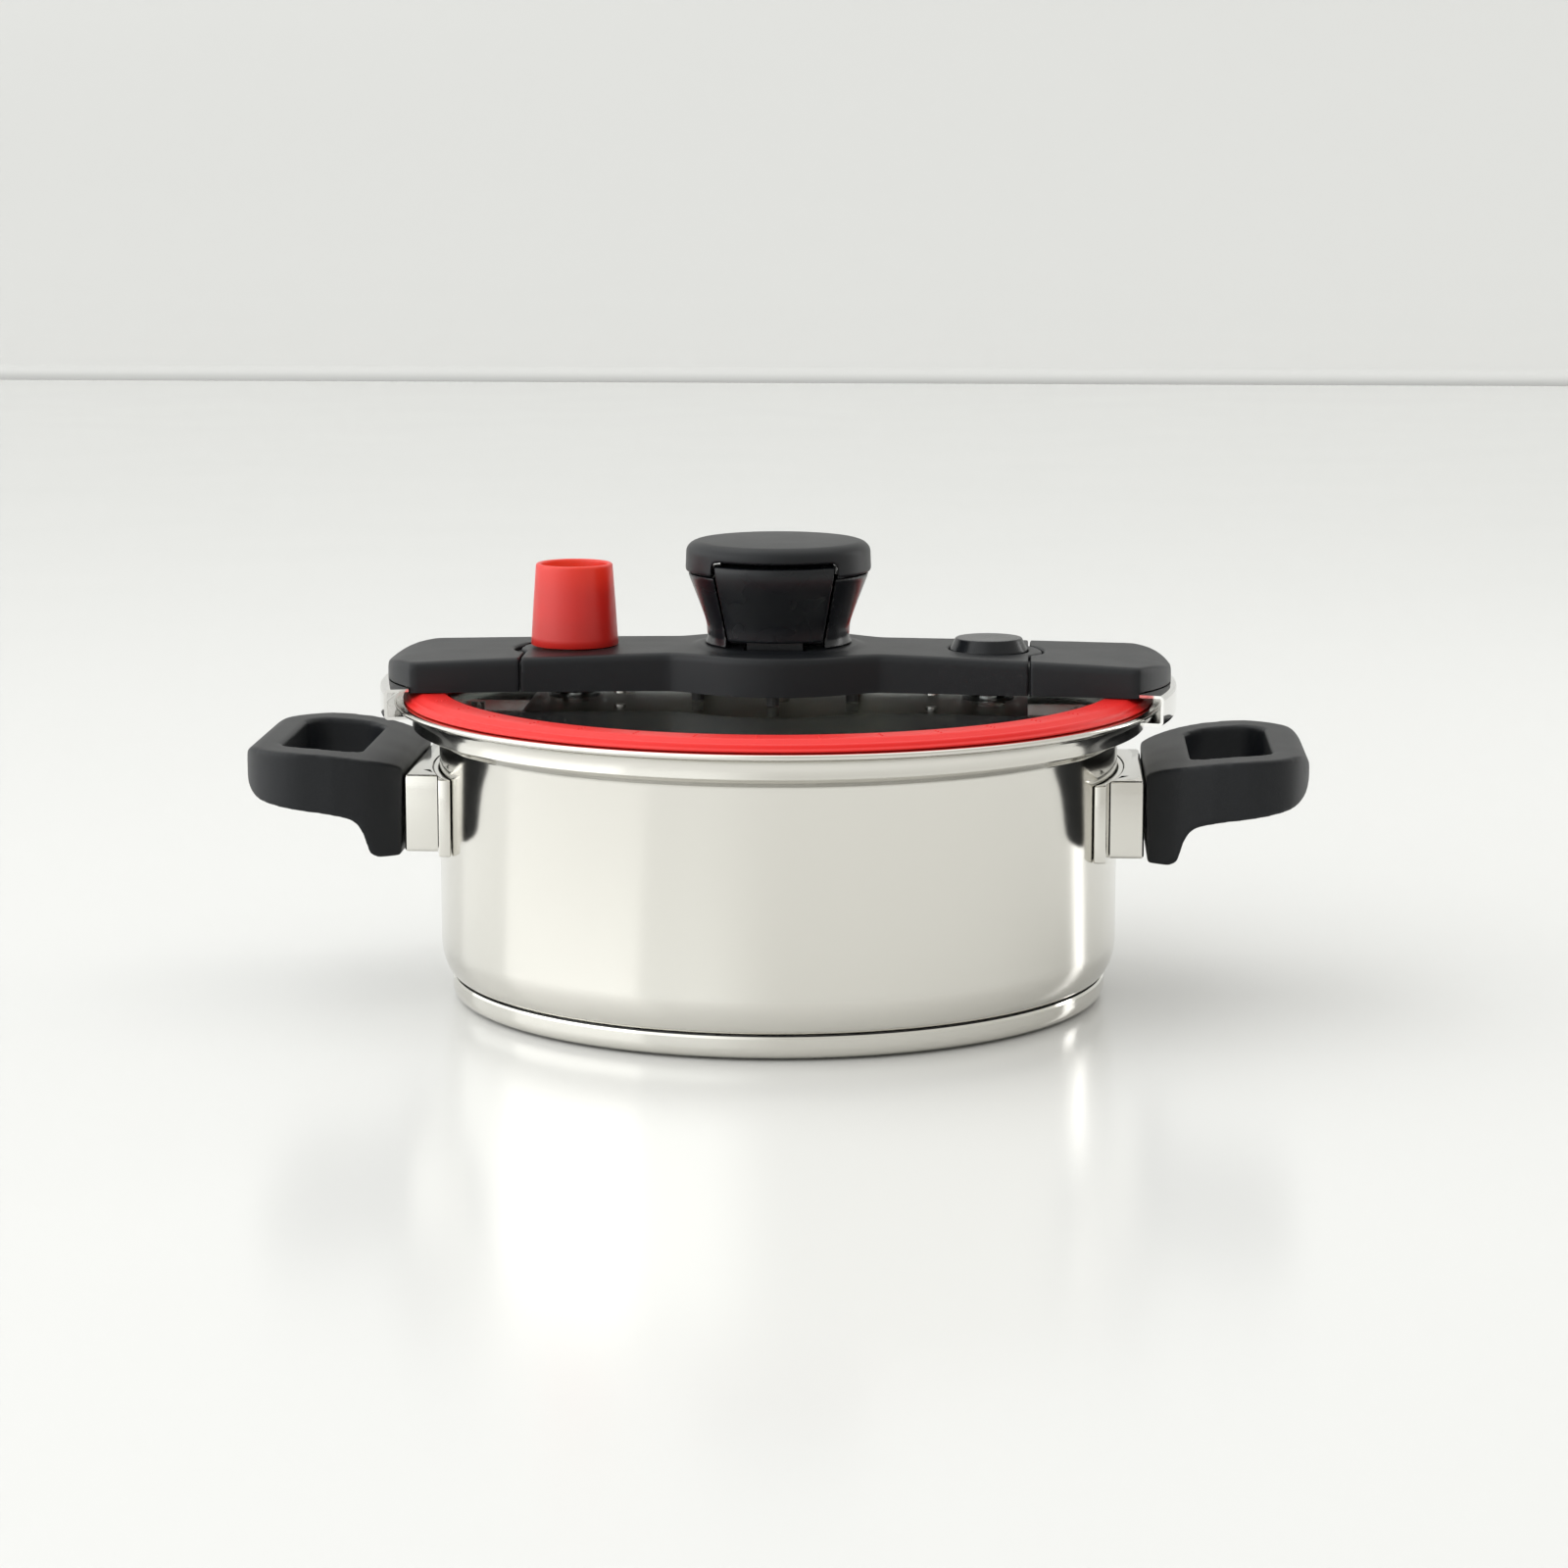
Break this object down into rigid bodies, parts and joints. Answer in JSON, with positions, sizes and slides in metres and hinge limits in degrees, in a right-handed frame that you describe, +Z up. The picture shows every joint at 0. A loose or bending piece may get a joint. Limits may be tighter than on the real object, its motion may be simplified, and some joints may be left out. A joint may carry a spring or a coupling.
{
  "type": "pressure cooker",
  "caption": "Stovetop pressure cooker: steel pot with loop handles, glass lid held down by a sliding clamp bridge, squeeze knob, weighted vent and release button",
  "frame": {"origin": "centre of the base's underside", "axes": "+Z up, +X through the side handles towards the release button, -Y towards the front button"},
  "size_m": [0.3758, 0.2734, 0.1625],
  "materials": {
    "brushed_steel": "satin",
    "polished_steel": "polished",
    "aluminium": "cast",
    "black_phenolic": "fine matt texture",
    "black_nylon": "fine matt texture",
    "red_silicone": "smooth satin",
    "grey_silicone": "smooth",
    "black_rubber": "smooth",
    "tempered_glass": "clear",
    "brass_weight": "turned",
    "zinc_steel": "bright"
  },
  "bodies": {
    "pot_unit": {"pot_shell": "brushed_steel", "base_cap": "polished_steel", "base_core": "aluminium", "handle_bracket_left": "polished_steel", "flame_guard_left": "polished_steel", "side_handle_left": "black_phenolic", "handle_screw_left": "polished_steel", "handle_bracket_right": "polished_steel", "flame_guard_right": "polished_steel", "side_handle_right": "black_phenolic", "handle_screw_right": "polished_steel"},
    "lid_unit": {"lid_glass": "tempered_glass", "lid_seal_ring": "red_silicone", "bridge_housing": "black_nylon", "bridge_base_plate": "black_nylon", "bridge_foot_1": "black_rubber", "bridge_foot_2": "black_rubber", "bridge_foot_3": "black_rubber", "bridge_foot_4": "black_rubber", "bridge_foot_5": "black_rubber", "bridge_foot_6": "black_rubber", "bridge_screw_1": "zinc_steel", "bridge_screw_2": "zinc_steel", "bridge_screw_3": "zinc_steel", "bridge_screw_4": "zinc_steel", "knob_neck": "black_nylon", "knob_cap": "black_nylon", "knob_screw": "zinc_steel", "return_spring_front": "zinc_steel", "return_spring_rear": "zinc_steel", "vent_tube": "zinc_steel", "vent_gasket": "grey_silicone", "vent_washer": "black_rubber", "vent_nut": "zinc_steel", "vent_strainer": "zinc_steel", "valve_body": "zinc_steel", "valve_gasket": "grey_silicone", "valve_washer": "black_rubber", "valve_nut": "zinc_steel", "valve_strainer": "zinc_steel"},
    "right_clamp_unit": {"slider_right": "black_nylon", "drawbar_right": "zinc_steel", "clamp_right": "polished_steel", "clamp_screw_right_front": "zinc_steel", "clamp_screw_right_rear": "zinc_steel", "drawbar_screw_right": "zinc_steel"},
    "left_clamp_unit": {"slider_left": "black_nylon", "drawbar_left": "zinc_steel", "clamp_left": "polished_steel", "clamp_screw_left_front": "zinc_steel", "clamp_screw_left_rear": "zinc_steel", "drawbar_screw_left": "zinc_steel"},
    "front_button_unit": {"squeeze_button_front": "black_nylon"},
    "rear_button_unit": {"squeeze_button_rear": "black_nylon"},
    "regulator_unit": {"regulator_weight": "brass_weight", "silicone_sleeve": "red_silicone"},
    "release_unit": {"release_button": "black_nylon", "valve_stem": "zinc_steel", "valve_seal": "grey_silicone", "valve_spring": "zinc_steel"}
  },
  "joints": [
    {"name": "lid_lift", "type": "slide", "parent": "pot_unit", "child": "lid_unit", "axis": [0, 0, 1], "range_m": [0, 0.12]},
    {"name": "clamp_right_slide", "type": "slide", "parent": "lid_unit", "child": "right_clamp_unit", "axis": [1, 0, 0], "range_m": [0, 0.008], "stiffness_N_per_m": 300, "springref_m": -0.006},
    {"name": "clamp_left_slide", "type": "slide", "parent": "lid_unit", "child": "left_clamp_unit", "axis": [-1, 0, 0], "range_m": [0, 0.008]},
    {"name": "button_front_press", "type": "slide", "parent": "lid_unit", "child": "front_button_unit", "axis": [0, 1, 0], "range_m": [0, 0.005]},
    {"name": "button_rear_press", "type": "slide", "parent": "lid_unit", "child": "rear_button_unit", "axis": [0, -1, 0], "range_m": [0, 0.005]},
    {"name": "regulator_lift", "type": "slide", "parent": "lid_unit", "child": "regulator_unit", "axis": [0, 0, 1], "range_m": [0, 0.03]},
    {"name": "release_press", "type": "slide", "parent": "lid_unit", "child": "release_unit", "axis": [0, 0, -1], "range_m": [0, 0.003], "stiffness_N_per_m": 400, "springref_m": -0.003, "deforming": ["valve_spring"]}
  ],
  "couplings": [
    {"joint": "clamp_left_slide", "follows": "clamp_right_slide", "ratio": 1},
    {"joint": "button_front_press", "follows": "clamp_right_slide", "ratio": 0.625},
    {"joint": "button_rear_press", "follows": "clamp_right_slide", "ratio": 0.625}
  ]
}
